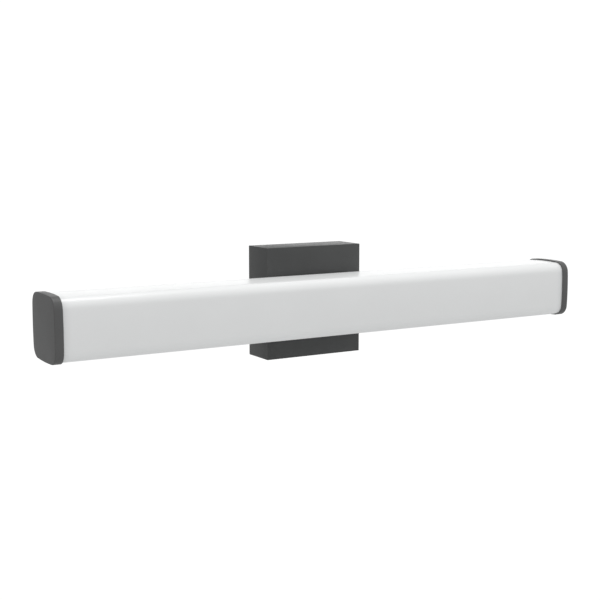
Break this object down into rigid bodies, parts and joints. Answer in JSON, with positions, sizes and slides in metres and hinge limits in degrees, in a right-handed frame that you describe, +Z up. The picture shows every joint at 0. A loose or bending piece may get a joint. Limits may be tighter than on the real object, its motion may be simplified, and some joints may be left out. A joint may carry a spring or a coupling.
{
  "type": "vanity light bar",
  "caption": "Wall-mounted LED vanity light bar: a rounded-square opal diffuser between two dark end caps, centred on a square dark canopy.",
  "frame": {"origin": "centre of the wall plate's box-screw pattern, on the wall", "axes": "+X along the bar to the viewer's right, +Y into the wall, +Z up"},
  "size_m": [0.61, 0.101, 0.117],
  "materials": {
    "graphite_powder_coat": "satin fine-textured dark grey powder coat",
    "graphite_moulding": "satin dark grey moulding",
    "opal_acrylic": "opal white, satin gloss",
    "white_powder_coat": "white, satin",
    "galvanised_steel": "galvanised",
    "zinc_plate": "bright zinc plate",
    "green_paint": "green",
    "copper_stud": "copper plated",
    "white_nylon": "natural white",
    "circuit_board": "green solder mask",
    "board_white": "white solder mask",
    "led_phosphor": "yellow phosphor in a white frame",
    "winding_tape": "yellow tape",
    "capacitor_sleeve": "dark sleeve",
    "copper_winding": "enamelled copper",
    "black_insulation": "black",
    "white_insulation": "white",
    "green_insulation": "green",
    "red_insulation": "red",
    "orange_connector": "orange"
  },
  "bodies": {
    "wall_mount": {"wall_plate": "galvanised_steel", "ground_screw": "green_paint"},
    "fixture": {"canopy": "graphite_powder_coat", "driver_standoffs": "zinc_plate", "ground_stud": "copper_stud", "ground_terminal": "zinc_plate", "ground_nut": "zinc_plate", "driver_case": "white_nylon", "driver_lid": "white_nylon", "driver_circuit_board": "circuit_board", "driver_transformer": "winding_tape", "driver_capacitors": "capacitor_sleeve", "driver_choke": "copper_winding", "driver_screws": "zinc_plate", "wire_bushing": "white_nylon", "channel_screws": "zinc_plate", "channel_nuts": "zinc_plate", "mounting_screws": "zinc_plate", "back_channel": "white_powder_coat", "led_tray": "white_powder_coat", "tray_screws": "zinc_plate", "led_board_left": "board_white", "led_board_right": "board_white", "leds_left": "led_phosphor", "leds_right": "led_phosphor", "board_screws": "zinc_plate", "board_connectors": "white_nylon", "supply_lead_black": "black_insulation", "supply_lead_white": "white_insulation", "ground_lead_green": "green_insulation", "wire_connectors": "orange_connector", "led_lead_red": "red_insulation", "led_lead_black": "black_insulation", "link_lead_red": "red_insulation", "link_lead_black": "black_insulation"},
    "diffuser": {"diffuser": "opal_acrylic"},
    "left_cap": {"left_end_cap": "graphite_moulding"},
    "right_cap": {"right_end_cap": "graphite_moulding"}
  },
  "joints": [
    {"name": "fixture_pull_off", "type": "slide", "parent": "wall_mount", "child": "fixture", "axis": [0, -1, 0], "range_m": [0, 0.08]},
    {"name": "diffuser_slide_out", "type": "slide", "parent": "fixture", "child": "diffuser", "axis": [1, 0, 0], "range_m": [0, 0.56]},
    {"name": "right_cap_pull_off", "type": "slide", "parent": "diffuser", "child": "right_cap", "axis": [1, 0, 0], "range_m": [0, 0.03]},
    {"name": "left_cap_pull_off", "type": "slide", "parent": "fixture", "child": "left_cap", "axis": [-1, 0, 0], "range_m": [0, 0.03]}
  ]
}
